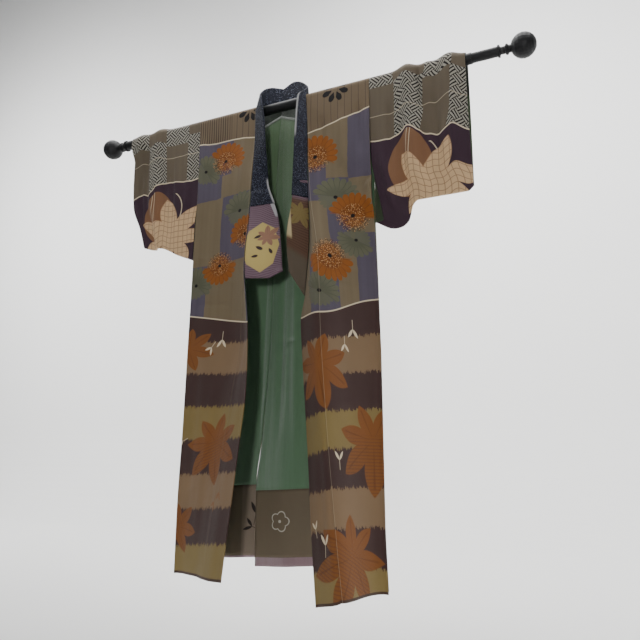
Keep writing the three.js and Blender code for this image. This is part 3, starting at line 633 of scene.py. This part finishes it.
def maple(c, at, size, turn, colour, hatch=0, stretch=1.0):
    """A leaf of seven pointed lobes; hatch is the spacing of the fine lines drawn over it."""
    r, angle = c.polar(at, turn, stretch)
    reach = r / ((angle + math.pi / 2).sin() * 0.2 + 1.0) / size
    lobe = abs((angle * (7 / (2 * math.pi)) + 0.5).fract() - 0.5) * 2.0
    width = reach ** 1.7 * -1.4 + 1.36
    mask = (lobe - width).ramp(0.05, -0.05) * reach.ramp(1.0, 0.97)
    c.paint(mask, colour)
    vein = lobe.ramp(0.1, 0.02) * reach.within(0.1, 0.85, 0.1)
    c.paint(mask * vein, BLACK_PRINT_AND_SHADE, 0.25)
    if hatch:
        along, _ = c.local(at, turn)
        drawn = lines(along, hatch, 0.22, 0.12) * along.ramp(-0.2 * size, 0.1 * size)
        c.paint(mask * drawn, linear(80, 58, 44), 0.4)
    return mask


def twig(c, at, turn, size, colour):
    """Two narrow leaves that part from the end of a thin stem."""
    along, side = c.local(at, turn)
    spread = abs(side)
    leaf = along * 0.82 + spread * 0.57
    across = abs(along * 0.57 - spread * 0.82)
    bulge = (leaf / size) * (1.0 - leaf / size) * (0.55 * size)
    mask = (across - bulge.at_least(0.0)).ramp(0.8, -0.4) * leaf.within(0.0, size, 1.5)
    stem = spread.ramp(1.4, 0.6) * along.within(-0.9 * size, 0.0, 1.5)
    c.paint(mask.at_least(stem * 0.8), colour)


def daisy(c, at, size):
    """Eight separate petals round an open middle."""
    r, angle = c.polar(at, 0)
    r = r / size
    gap = abs((angle * 4.0).sin())
    petals = (gap + abs(r - 0.65) * -1.9).ramp(0.22, 0.36)
    c.paint(r.within(0.22, 1.0, 0.1) * petals, BLACK_PRINT_AND_SHADE)


def basket(c, size):
    """A basket weave of diagonal bars, dark lines on silver: 1 where silver shows."""
    u, v = (c.x + c.y) / size, (c.x - c.y) / size
    cell = (u.floor() + v.floor()) * 0.5
    odd = cell.fract().ramp(0.2, 0.3)
    return lines(u * 3.0, 1, 0.31, 0.21) * odd + lines(v * 3.0, 1, 0.31, 0.21) * (1.0 - odd)


def crepe(c):
    """Fine crepe ground, laid last: threads, small cloudiness of the dye and a slightly uneven face."""
    warp = (c.x * (2 * math.pi / 1.1)).sin()
    weft = (c.y * (2 * math.pi / 1.3)).sin()
    c.shade(c.noise(60, 140, 3.0, 4.0) * 0.16 + 0.92)
    c.shade(warp * weft * 0.05 + c.noise(1.5, 3.0, 1.0, 9.0) * 0.14 + 0.93)
    c.raise_by(warp * weft * 0.35 + c.noise(2.0, 4.0, 1.0, 2.0))
    c.raise_by(c.noise(50, 130, 2.0, 5.0) * 5)
    return c.finish()


# ---- Prints ----
BAND = 106  # height of one broad stripe, mm
SPECKLE, NAVY_SPECKLE = 3.8, 3.0  # spacing of the fine dots on flowers and over-collar


def ikat_bands(c, top, line, tilt):
    """Broad level stripes under the second cream line, their edges ragged thread by thread."""
    slope = (c.y - top) * ((tilt[1] - tilt[0]) / 650) + tilt[0]
    ragged = c.by_thread(c.x, 2.6) * 9 + c.by_thread(c.x, 8.0, 40.0) * 7 - 8.0
    band = (c.y - c.x * slope - top + ragged) / BAND
    below = (c.y - line).ramp(-1.0, 1.0)
    c.paint(below, PURPLE)
    for first, colour in ((0, TAN), (4, TAN), (2, MUSTARD)):
        c.paint(below * band.within(first, first + 1, 0.035), colour)
    c.paint(below * band.ramp(5.98, 6.02), MUSTARD)


def patches(c, rows, soft=2.5):
    """Slate rectangles of the check, each from x to x and y to y."""
    wander = c.noise(30, 40, 1.0, 7.0) * 6 - 3.0
    x, y = c.x + wander, c.y + wander
    for x0, x1, y0, y1 in rows:
        c.paint(x.within(x0, x1, soft) * y.within(y0, y1, soft), SLATE)


def cream_line(c, line):
    c.paint(abs(c.y - line).ramp(2.6, 1.4), CREAM, 0.95)


def seam_and_hem(c, hem):
    """The dark rolled edge along the hem, and painted shade along the panel seam, beside a faint light
    line.
    """
    c.paint((c.y - hem).ramp(-8.0, -6.0), linear(70, 54, 44))
    c.paint(abs(c.seam - 3.0).ramp(1.2, 0.5), CREAM, 0.16)
    # painted shade: a dark line along the panel seam
    c.paint(c.seam.ramp(1.6, 0.6), BLACK_PRINT_AND_SHADE, 0.2)


# Where each motif of a body half lies, in mm across and down its cloth: slate patches from x to x and y to
# y, flowers (place, size, turn and for orange ones stretch), leaves (place, size, turn, gap of their fine
# lines, stretch), twigs (place, turn, size), and the stripes' top and tilt.
BODY_PRINT = {
    "left": {
        "patches": [(0, 140, 100, 240), (0, 102, 240, 318), (112, 305, 318, 538), (0, 62, 538, 790),
                    (318, 420, 560, 790)],
        "streaks": 3.0, "bands": (781, (0.125, -0.05)), "daisy": (200, 20), "hem": 1498,
        "grey": [((194, 379), 74, -90), ((34, 213), 66, -30), ((19, 600), 70, -50)],
        "orange": [((114, 190), 78, -58, 0.85), ((228, 462), 70, -110, 0.9), ((115, 546), 75, 88, 0.85)],
        "leaves": [((5, 808), 100, 20, 0, 0.7), ((176, 1116), 158, 78, 9, 0.7),
                   ((2, 1362), 104, 10, 9, 0.75)],
        "twigs": [((143, 790), 95, 30), ((104, 812), 130, 26), ((5, 1102), 160, 26)],
        "brown_twigs": [((272, 1262), 95, 28), ((240, 1290), 120, 28)]},
    "right": {
        "patches": [(0, 72, 100, 332), (72, 140, 326, 548), (140, 216, 276, 402), (0, 60, 505, 790),
                    (128, 232, 592, 790)],
        "streaks": 8.0, "bands": (804, (0.16, -0.06)), "daisy": (112, 24), "hem": 1503,
        "grey": [((114, 392), 74, -105), ((197, 700), 70, -120), ((58, 530), 60, 60)],
        "orange": [((178, 246), 76, -112, 1.0), ((63, 452), 74, -98, 1.0), ((148, 589), 78, 86, 1.0)],
        "leaves": [((222, 905), 112, 98, 0, 0.95), ((28, 1106), 136, 90, 9, 0.95),
                   ((142, 1400), 150, 64, 9, 0.85)],
        "twigs": [((90, 800), 90, 30), ((122, 845), 90, 26), ((168, 1160), -90, 28),
                  ((288, 1320), -80, 24), ((248, 1362), -95, 32)],
        "brown_twigs": []},
}


def print_body(side):
    c, motifs = Cloth("printed_" + side, OLIVE), BODY_PRINT[side]
    speckle = c.cells(SPECKLE)
    hairs = lines(c.x, 23, 0.07, 0.03)
    if side == "left":
        first = c.x * 0.085 + (c.x / 34).sin() * 3 + 107
        second = c.x * 0.19 + 700
        bars = lines(c.x, 9, 0.22, 0.1) * c.x.ramp(150, 100)
        drawn, dye, strength = bars.at_least(hairs * c.x.ramp(100, 150) * 0.6), linear(44, 34, 32), 0.9
    else:
        first = c.x * 0.22 + 113
        second = c.x.ramp(0, 210) * 56 + 707
        drawn, dye, strength = hairs, linear(60, 48, 44), 0.5
    patches(c, motifs["patches"])
    c.shade(c.noise(16, 900, 1.0, motifs["streaks"]) * 0.3 + 0.85)
    above = (c.y - first).ramp(1.0, -1.0)
    c.paint(above, TAUPE)
    c.paint(above * drawn, dye, strength)
    for at, size, turn in motifs["grey"]:
        chrysanthemum(c, at, size, turn, GREY_GREEN, None, 0.9)
    for at, size, turn, stretch in motifs["orange"]:
        chrysanthemum(c, at, size, turn, ORANGE, speckle, stretch)
    top, tilt = motifs["bands"]
    ikat_bands(c, top, second, tilt)
    cream_line(c, first)
    cream_line(c, second)
    daisy(c, motifs["daisy"], 46)
    for at, size, turn, hatch, stretch in motifs["leaves"]:
        maple(c, at, size, turn, LEAF, hatch, stretch)
    for name, colour in (("twigs", CREAM), ("brown_twigs", linear(126, 84, 50))):
        for at, turn, size in motifs[name]:
            twig(c, at, turn, size, colour)
    seam_and_hem(c, motifs["hem"])
    return crepe(c)


# Where each motif of a sleeve lies, in mm across and down its cloth: woven blocks from x to x and y to y,
# the fine line and the wavy one, the dome (x, y, half width, height), its stalks, the round stem (x, y,
# radius) and the leaf (x, y, turn).
SLEEVE_PRINT = {
    "left": {
        "blocks": [(-20, 48, 28, 400), (142, 222, 44, 400), (46, 142, -60, 56), (222, 400, -60, 50)],
        "line": 102, "wave": 196, "dome": (178, 318, 80, 90), "stalks": (192, 204),
        "stem": (136, 297, 75), "leaf": (100, 392, -80)},
    "right": {
        "blocks": [(78, 178, 22, 400), (262, 400, 36, 400), (-20, 76, -60, 28), (178, 262, -60, 40)],
        "line": 122, "wave": 198, "dome": (138, 302, 82, 100), "stalks": (136, 147),
        "stem": (164, 300, 79), "leaf": (196, 380, -68)},
}


def print_sleeve(side):
    c, motifs = Cloth("printed_sleeve_" + side, linear(94, 84, 70)), SLEEVE_PRINT[side]
    c.shade(c.noise(20, 700, 1.0, 5.0) * 0.3 + 0.85)
    silver = basket(c, 38)
    for x0, x1, y0, y1 in motifs["blocks"]:
        inside = c.x.within(x0, x1, 1.5) * c.y.within(y0, y1, 1.5)
        c.paint(inside, linear(34, 30, 30))
        c.paint(inside * silver, SILVER)
    c.paint(abs(c.y - motifs["line"]).ramp(1.8, 0.8), CREAM, 0.4)
    wave = (c.x / 26).sin() * 5 + c.x.ramp(150, 270) * 26 + motifs["wave"]
    lower = (c.y - wave).ramp(-1.0, 1.0)
    c.paint(lower, DEEP_PURPLE)
    x, y, half_width, height = motifs["dome"]
    dx, dy = (c.x - x) / half_width, (c.y - y) / height
    dome = (dx * dx + dy * dy).ramp(1.03, 0.97) * lower
    c.paint(dome, linear(122, 88, 64))
    for stalk in motifs["stalks"]:
        c.paint(dome * abs(c.x - stalk).ramp(1.8, 0.9), CREAM, 0.7)
    x, y, radius = motifs["stem"]
    r, _ = c.polar((x, y), 0)
    stem = abs(r - radius).ramp(2.2, 1.2) * c.y.within(236, 350, 2)
    c.paint(stem * (c.x - x).ramp(0, 2 * SIGN[side]), CREAM, 0.8)
    x, y, turn = motifs["leaf"]
    leaf = maple(c, (x, y), 168, turn, PEACH, stretch=0.72)
    plaid = lines(c.x, 19, 0.08, 0.04).at_least(lines(c.y, 19, 0.08, 0.04))
    c.paint(leaf, linear(206, 178, 138), 0.75)
    c.paint(leaf * plaid, linear(96, 66, 50), 0.6)
    cream_line(c, wave)
    return crepe(c)


def print_collar():
    """y: along the collar from the back of the neck, negative to the left; x: across it from the seam."""
    c = Cloth("collar_print", MAUVE)
    waves = lines(c.y + (c.x / 17).sin() * 5, 7, 0.2, 0.1)
    c.paint(waves, linear(70, 56, 66), 0.8)
    dx, dy = abs(c.x - 44), abs(c.y + 590)
    diamond, box = dx / 74 + dy / 112, (dy / 92).at_least(dx / 62)
    c.paint((diamond * 0.5 + box * 0.5).ramp(0.86, 0.83), YELLOW)
    maple(c, (62, -560), 38, 40, linear(140, 104, 84))
    for at, size, turn in (((22, -560), 22, 20), ((30, -590), 24, -30), ((18, -625), 20, 10),
                           ((70, -600), 20, -60)):
        r, angle = c.polar(at, turn)
        c.paint((r / size - abs(angle).ramp(0.9, 0.0)).ramp(0.1, -0.1), linear(52, 38, 40))
    right = c.y.ramp(440, 460)
    c.paint(right, linear(84, 62, 48))
    c.paint(right * lines(c.y, 9, 0.14, 0.06) * c.y.ramp(640, 620), linear(60, 40, 36), 0.8)
    maple(c, (26, 498), 48, 60, linear(112, 96, 58))
    c.paint(c.y.ramp(630, 660), linear(84, 74, 62))
    c.paint(c.x.ramp(54, 60) * c.y.within(455, 600, 20), linear(176, 160, 122))
    beyond = ((c.x - 50) / 24 + (c.y + 440) / 60).ramp(0.5, 0.6)
    c.paint(beyond * c.y.within(-490, -430, 12), PALE_EDGE)
    return crepe(c)


def navy_collar():
    c = Cloth("over_collar_navy", linear(20, 22, 34))
    c.paint(c.cells(NAVY_SPECKLE).ramp(0.32, 0.2), linear(118, 124, 144), 0.8)
    strip = c.x.ramp(60, 66)
    c.paint(strip * (c.y - c.x * 0.4).within(60, 200, 30), linear(140, 140, 140))
    c.paint(strip * c.y.within(-440, -345, 20), PALE_EDGE)
    return crepe(c)


def satin(name, ground, low=None):
    """Smooth green lining silk, with the mauve of the outer cloth turned in below y = low."""
    c = Cloth(name, ground, 0.36, 0.45)
    # yellower green towards the top
    c.paint(c.y.ramp(700, 200), linear(100, 116, 74), 0.35)
    # painted shade darkening the cloth near its top edge
    c.paint(c.y.ramp(112, 98), BLACK_PRINT_AND_SHADE, 0.8)
    if low:
        c.paint(c.y.ramp(low - 1, low + 1), linear(140, 112, 118))
    c.shade(c.noise(40, 500, 2.0, 6.0) * 0.3 + 0.85)
    threads = (c.x * (2 * math.pi / 0.9)).sin()
    c.shade(threads * 0.03 + c.noise(1.2, 9.0, 1.0) * 0.08 + 0.95)
    c.raise_by(c.noise(24, 520, 2.0, 1.0) * 9 + c.noise(60, 60, 3.0, 3.0) * 2)
    c.raise_by(threads * 0.15)
    return c.finish(0.6, 0.0026, 0.2)


def facing_cloth(side):
    """Brown crepe, with twigs on the left half and an outlined five-lobed blossom on the right one."""
    c = Cloth("facing_" + side, linear(102, 90, 74), 0.7)
    if side == "left":
        c.paint(c.x.ramp(200, 204), linear(126, 112, 100), 0.6)
        twig(c, (250, 90), -80, 40, INK)
        twig(c, (238, 130), 200, 32, INK)
    else:
        r, angle = c.polar((318, 95), 0)
        ring = abs(r - (abs((angle * 2.5).sin()) * 8 + 22.0)).ramp(2.2, 1.2)
        c.paint(ring.at_least(r.ramp(5, 4)), linear(190, 182, 168), 0.85)
    return crepe(c)


RING_X = 0.682  # metal ring on each finial's stem, from the rod's middle, m


def black_metal():
    """Matt black paint; the finials' stems carry a slightly paler metal ring."""
    material, tree, shader = new_material("black_metal_paint", {"Specular IOR Level": 0.3})
    where = add_node(tree, "TexCoord", output="Object")
    noise = add_node(tree, "TexNoise", {"Scale": 180, "Vector": where})
    bump = add_node(tree, "Bump", {"Strength": 0.08, "Distance": 0.0003, "Height": noise})
    x = add_node(tree, "SeparateXYZ", {0: where})
    ring = abs(abs(x) - RING_X).ramp(0.0035, 0.0028)
    colours = {"Factor": ring, "A": (0.006, 0.006, 0.007, 1), "B": (0.05, 0.05, 0.05, 1)}
    feed(tree, shader, {
        "Base Color": add_node(tree, "Mix", colours, "Result", data_type="RGBA"),
        "Roughness": noise.ramp(0.2, 0.8) * 0.16 + 0.46,
        "Metallic": ring, "Normal": bump})
    return material


def backdrop_paint():
    """Pale matt studio paint with a barely uneven face."""
    material, tree, shader = new_material("studio_paint", {"Base Color": (0.94, 0.94, 0.93, 1)})
    noise = add_node(tree, "TexNoise", {"Scale": 3})
    feed(tree, shader, {"Roughness": noise * 0.1 + 0.85})
    return material


# ---- Pieces ----
def spaced(*stops):
    """Values through all stops, in even steps between them: (from, steps, to, steps, to ...)."""
    values = [float(stops[0])]
    for count, end in zip(stops[1::2], stops[2::2]):
        values += list(np.linspace(values[-1], end, count + 1)[1:])
    return np.array(values)


def finish_piece(node):
    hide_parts(node)


def body(side, printed, inner):
    hem_l = QUARTER - HEM[side]["side"]
    across = spaced(0, 60, 1)[:, None]
    back = spaced(-hem_l, 150, NECK_BACK, 8, 0)
    front = spaced(0, 8, QUARTER, 190, hem_l)[1:]
    l = np.concatenate([back, front])[None, :]
    middle = body_point(side, across, l)
    width = arc(middle, 0)
    obj = shell("body_%s_cloth" % side, middle, CLOTH, [printed, inner, printed],
                (width, np.abs(l)), SIGN[side], seam=width[-1:] - width)
    finish_piece("body_" + side)


def overlap(side, printed, inner):
    l = spaced(PANEL_TOP, 150, QUARTER - HEM[side]["side"])[None, :]
    middle = front_point(side, spaced(1, 24, 2)[:, None], l)
    start = arc(front_point(side, spaced(0, 60, 1)[:, None], l), 0)[-1:]
    width = arc(middle, 0)
    obj = shell("overlap_%s_cloth" % side, middle, CLOTH, [printed, inner, printed],
                (start + width, l), SIGN[side], seam=width + PANEL_SEAM_OFF)
    finish_piece("overlap_" + side)


def inside_backs(side, green, brown):
    """The green lining of one back half, and the brown facing under it down to the hem."""
    hem_l = QUARTER - HEM[side]["side"]
    across = spaced(LINING_SIDE, 52, 1)[:, None]
    sign, inside = SIGN[side], -(CLOTH / 2 + SEAM + LINING / 2)
    l = spaced(-FACING_TOP - QUARTER + SEAM, 130, LINING_TOP)[None, :]
    middle = body_point(side, across, l)
    obj = shell("lining_%s_cloth" % side, middle, LINING, [green] * 3, (arc(middle, 0), -l), sign, inside)
    finish_piece("lining_" + side)
    l = spaced(-hem_l + FACING_RISE[side], 24, -FACING_TOP - QUARTER)[None, :]
    middle = body_point(side, across, l)
    obj = shell("facing_%s_cloth" % side, middle, LINING, [brown] * 3,
                (arc(middle, 0), -l - FACING_TOP - QUARTER), sign, inside)
    finish_piece("hem_facing_" + side)


def sleeve(side, printed, inner):
    half = spaced(0, 14, 1, 80, 2, 6, 3)
    around = np.concatenate([-half[::-1], half[1:]])[None, :]
    middle = sleeve_point(side, spaced(0, 90, 1)[:, None], around)
    ridge = len(half) - 1
    down = arc(middle, 1)
    down = np.abs(down - down[:, ridge:ridge + 1]) - QUARTER
    obj = shell("sleeve_%s_cloth" % side, middle, CLOTH, [printed, inner, printed],
                (arc(middle, 0), down), -SIGN[side], closed=True)
    finish_piece("sleeve_" + side)


def collars(printed, navy):
    left, right = (COLLAR_END[side] - NECK_BACK for side in ("left", "right"))
    s = spaced(-left, 130, 0, 140, right)[:, None]
    middle = collar_point(s, spaced(0, 24, 1)[None, :])
    obj = shell("collar_cloth", middle, COLLAR_CLOTH, [printed] * 3, (arc(middle, 1), s))
    finish_piece("collar")
    reach = OVER_COLLAR_END - NECK_BACK
    s = spaced(-reach, 180, reach)[:, None]
    w = spaced(-1, 18, -EDGE_SHARE, 8, EDGE_SHARE, 18, 1)[None, :]
    obj = shell("over_collar_cloth", over_collar_point(s, w), OVER_COLLAR, [navy] * 3,
                ((w + 1) * OVER_COLLAR_FACE, s))
    finish_piece("over_collar")


def rod(paint):
    for name in ("rod_outer_tube", "rod_inner_tube", "finial_left", "finial_right"):
        mesh = NODES[name].data
        mesh.materials.clear()
        mesh.materials.append(paint)


# ---- Stage ----
FLOOR_Z = -1.72
STAGE_REACH, BEND_Y, BEND_R, WALL_HEIGHT = 9.0, 2.2, 0.8, 7.0
SENSOR = 36  # mm


def sweep():
    """A pale floor that curves up into a pale wall behind."""
    profile = [(-STAGE_REACH, 0.0), (BEND_Y, 0.0)]
    profile += [(BEND_Y + BEND_R * math.sin(a), BEND_R - BEND_R * math.cos(a))
                for a in np.linspace(0, math.pi / 2, 17)]
    profile += [(BEND_Y + BEND_R, WALL_HEIGHT)]
    points = [(x, y, FLOOR_Z + z) for x in (-STAGE_REACH, STAGE_REACH) for y, z in profile]
    n = len(profile)
    faces = [(i, i + n, i + n + 1, i + 1) for i in range(n - 1)]
    mesh = bpy.data.meshes.new("sweep")
    mesh.from_pydata(points, [], faces)
    mesh.materials.append(backdrop_paint())
    obj = bpy.data.objects.new("sweep", mesh)
    bpy.context.scene.collection.objects.link(obj)


def area_light(name, place, target, size, power):
    """A square light of that side in metres and that power in watts, aimed at a point."""
    data = bpy.data.lights.new(name, "AREA")
    data.shape, data.size, data.energy = "SQUARE", size, power
    obj = bpy.data.objects.new(name, data)
    bpy.context.scene.collection.objects.link(obj)
    obj.location = place
    aim(obj, target)


def aim(obj, target):
    direction = mathutils.Vector(target) - obj.location
    obj.rotation_mode = "QUATERNION"
    obj.rotation_quaternion = direction.to_track_quat("-Z", "Y")


def lights():
    area_light("key", (2.1, -6.0, -1.4), (0, -0.05, -0.7), 0.4, 150)
    area_light("top", (-1.6, -3.4, 2.4), (0, 0, -0.6), 2.0, 34)
    for x in (-4.2, 0.0, 4.2):
        area_light("wall", (x, 0.5, 1.6), (x * 1.1, 3.2, -0.2), 2.6, 165)
    world = bpy.data.worlds.new("studio")
    bpy.context.scene.world = world
    world.use_nodes = True
    feed(world.node_tree, world.node_tree.nodes["Background"],
         {"Color": (0.95, 0.97, 1.0, 1), "Strength": 0.12})


# Camera: where it stands in m, how it looks in degrees, and its lens in mm.
CAMERA = {"place": (0.906, -1.693, -1.079), "yaw": -25.18, "pitch": 10.8, "roll": -0.37, "lens": 36}


def camera():
    data = bpy.data.cameras.new("camera")
    data.lens, data.sensor_width, data.sensor_fit = CAMERA["lens"], SENSOR, "AUTO"
    data.clip_start, data.clip_end = 0.02, 50
    obj = bpy.data.objects.new("camera", data)
    bpy.context.scene.collection.objects.link(obj)
    obj.location = CAMERA["place"]
    yaw, pitch, roll = (math.radians(CAMERA[k]) for k in ("yaw", "pitch", "roll"))
    forward = np.array([math.sin(yaw) * math.cos(pitch), math.cos(yaw) * math.cos(pitch), math.sin(pitch)])
    level = np.array([math.cos(yaw), -math.sin(yaw), 0])
    up = np.cross(level, forward)
    right = level * math.cos(roll) + up * math.sin(roll)
    up = up * math.cos(roll) - level * math.sin(roll)
    turn = mathutils.Matrix((right, up, -forward)).transposed()
    obj.rotation_mode = "QUATERNION"
    obj.rotation_quaternion = turn.to_quaternion()
    bpy.context.scene.camera = obj


green = satin("green_lining", linear(92, 122, 92))
inside = satin("inner_cloth", linear(62, 100, 72), low=1462)
# the sleeves' insides: a darker copy of the lining green, as painted shade
shadowed = satin("sleeve_inner_cloth", linear(34, 46, 36))
for side in ("left", "right"):
    printed = print_body(side)
    body(side, printed, inside)
    overlap(side, printed, inside)
    inside_backs(side, green, facing_cloth(side))
    sleeve(side, print_sleeve(side), shadowed)
collars(print_collar(), navy_collar())
rod(black_metal())
sweep()
lights()
camera()
